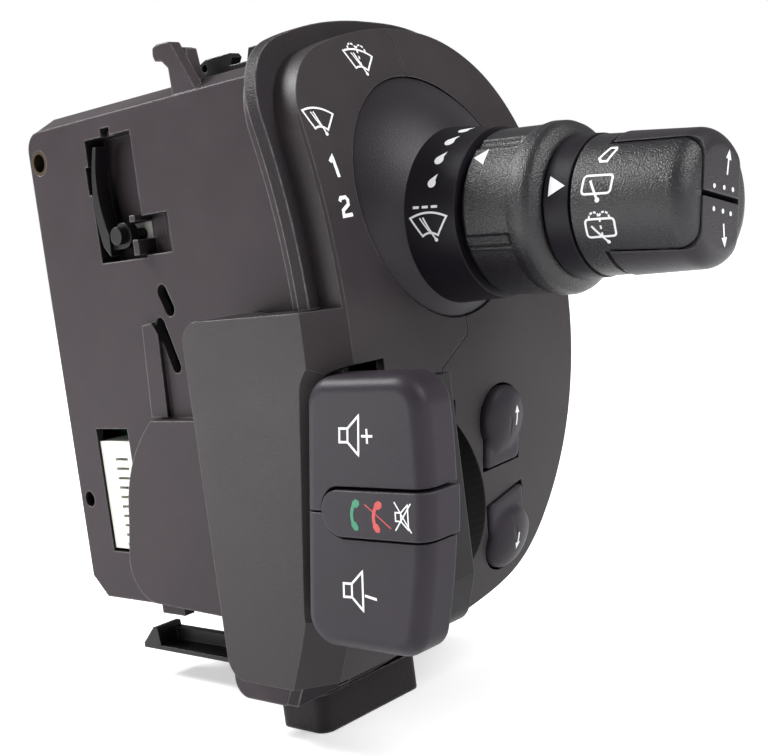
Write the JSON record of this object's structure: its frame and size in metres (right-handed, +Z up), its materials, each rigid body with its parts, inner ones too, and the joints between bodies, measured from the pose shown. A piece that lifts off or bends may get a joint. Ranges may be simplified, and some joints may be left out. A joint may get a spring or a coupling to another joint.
{
  "type": "combination stalk switch",
  "caption": "Steering column switch with a domed wiper lever, two turning collars, tip keys, and an audio remote with volume keys, thumbwheel and source keys.",
  "frame": {"origin": "centre of the upper screw hole at the box's front face", "axes": "+X out along the stalk, +Y away from the driver, +Z up"},
  "size_m": [0.1842, 0.0931, 0.16],
  "materials": {
    "charcoal_plastic": "matte, fine grain",
    "dome_plastic": "smooth, satin",
    "key_plastic": "smooth, satin",
    "black_plastic": "satin",
    "white_plastic": "moulded, satin",
    "board_green": "solder mask",
    "chip_black": "moulded",
    "steel": "turned",
    "brass": "turned",
    "contact_metal": "plated",
    "mat_rubber": "matt"
  },
  "bodies": {
    "chassis": {"main_housing": "charcoal_plastic", "box_body": "charcoal_plastic", "back_cover": "charcoal_plastic", "screw_bush": "brass", "cover_screws": "steel", "flange_frame": "charcoal_plastic", "front_shell": "charcoal_plastic", "rear_shell": "charcoal_plastic", "white_connector": "white_plastic", "connector_pins": "contact_metal", "circuit_board": "board_green", "board_chips": "chip_black", "board_socket": "black_plastic", "wheel_axle": "steel", "wheel_bracket": "black_plastic", "source_mat": "mat_rubber", "source_board": "board_green", "key_frame": "black_plastic", "key_mat": "mat_rubber", "key_board": "board_green", "mechanism_frame": "black_plastic", "detent_track": "black_plastic", "white_bar": "white_plastic", "latch_pin": "steel", "top_bracket": "black_plastic", "latch_tongue": "black_plastic", "under_block": "charcoal_plastic"},
    "lift": {"lift_yoke": "black_plastic"},
    "lever": {"pull_carrier": "black_plastic", "dome": "dome_plastic", "mark_sleeve": "charcoal_plastic", "stalk_core": "steel", "marker_ring": "charcoal_plastic"},
    "plunger": {"detent_plunger": "steel"},
    "ring": {"sensitivity_ring": "charcoal_plastic"},
    "cap": {"end_cap": "charcoal_plastic", "tip_disc": "key_plastic"},
    "tip_up": {"tip_up_key": "key_plastic"},
    "tip_down": {"tip_down_key": "key_plastic"},
    "volume_up": {"volume_up_key": "key_plastic"},
    "volume_down": {"volume_down_key": "key_plastic"},
    "call": {"call_key": "key_plastic"},
    "wheel": {"thumbwheel": "key_plastic"},
    "source_up": {"source_up_key": "key_plastic"},
    "source_down": {"source_down_key": "key_plastic"},
    "latch": {"latch_lever": "black_plastic"}
  },
  "joints": [
    {"name": "stalk_lift", "type": "hinge", "parent": "chassis", "child": "lift", "pos_m": [0.0884, 0.026, -0.0266], "axis": [0, -1, 0], "range_deg": [-3, 20]},
    {"name": "stalk_pull", "type": "hinge", "parent": "lift", "child": "lever", "pos_m": [0.0884, 0.026, -0.0266], "axis": [-0.0541, 0, -0.9985], "range_deg": [0, 7], "stiffness_Nm_per_rad": 3, "springref_deg": -1.15},
    {"name": "ring_turn", "type": "hinge", "parent": "lever", "child": "ring", "pos_m": [0.0884, 0.026, -0.0266], "axis": [0.9985, 0, -0.0541], "range_deg": [-40, 20]},
    {"name": "cap_turn", "type": "hinge", "parent": "lever", "child": "cap", "pos_m": [0.0884, 0.026, -0.0266], "axis": [0.9985, 0, -0.0541], "range_deg": [-25, 25]},
    {"name": "tip_up_press", "type": "slide", "parent": "cap", "child": "tip_up", "axis": [-0.9985, 0, 0.0541], "range_m": [0, 0.0008], "stiffness_N_per_m": 1000, "springref_m": -0.0002},
    {"name": "tip_down_press", "type": "slide", "parent": "cap", "child": "tip_down", "axis": [-0.9985, 0, 0.0541], "range_m": [0, 0.0008], "stiffness_N_per_m": 1000, "springref_m": -0.0002},
    {"name": "detent_press", "type": "slide", "parent": "lever", "child": "plunger", "axis": [0.9985, 0, -0.0541], "range_m": [0, 0.0015], "stiffness_N_per_m": 1000, "springref_m": -0.0002},
    {"name": "volume_up_press", "type": "slide", "parent": "chassis", "child": "volume_up", "axis": [0, 1, 0], "range_m": [0, 0.001], "stiffness_N_per_m": 1000, "springref_m": -0.0002},
    {"name": "volume_down_press", "type": "slide", "parent": "chassis", "child": "volume_down", "axis": [0, 1, 0], "range_m": [0, 0.001], "stiffness_N_per_m": 1000, "springref_m": -0.0002},
    {"name": "call_press", "type": "slide", "parent": "chassis", "child": "call", "axis": [0, 1, 0], "range_m": [0, 0.001], "stiffness_N_per_m": 1000, "springref_m": -0.0002},
    {"name": "wheel_turn", "type": "hinge", "parent": "chassis", "child": "wheel", "pos_m": [0.0964, 0.0155, -0.0887], "axis": [0, 1, 0], "continuous": true},
    {"name": "source_up_press", "type": "slide", "parent": "chassis", "child": "source_up", "axis": [-1, 0, 0], "range_m": [0, 0.001], "stiffness_N_per_m": 1000, "springref_m": -0.0002},
    {"name": "source_down_press", "type": "slide", "parent": "chassis", "child": "source_down", "axis": [-1, 0, 0], "range_m": [0, 0.001], "stiffness_N_per_m": 1000, "springref_m": -0.0002},
    {"name": "latch_turn", "type": "hinge", "parent": "chassis", "child": "latch", "pos_m": [0.0298, 0.002, -0.022], "axis": [0, 1, 0], "range_deg": [0, 12]}
  ]
}
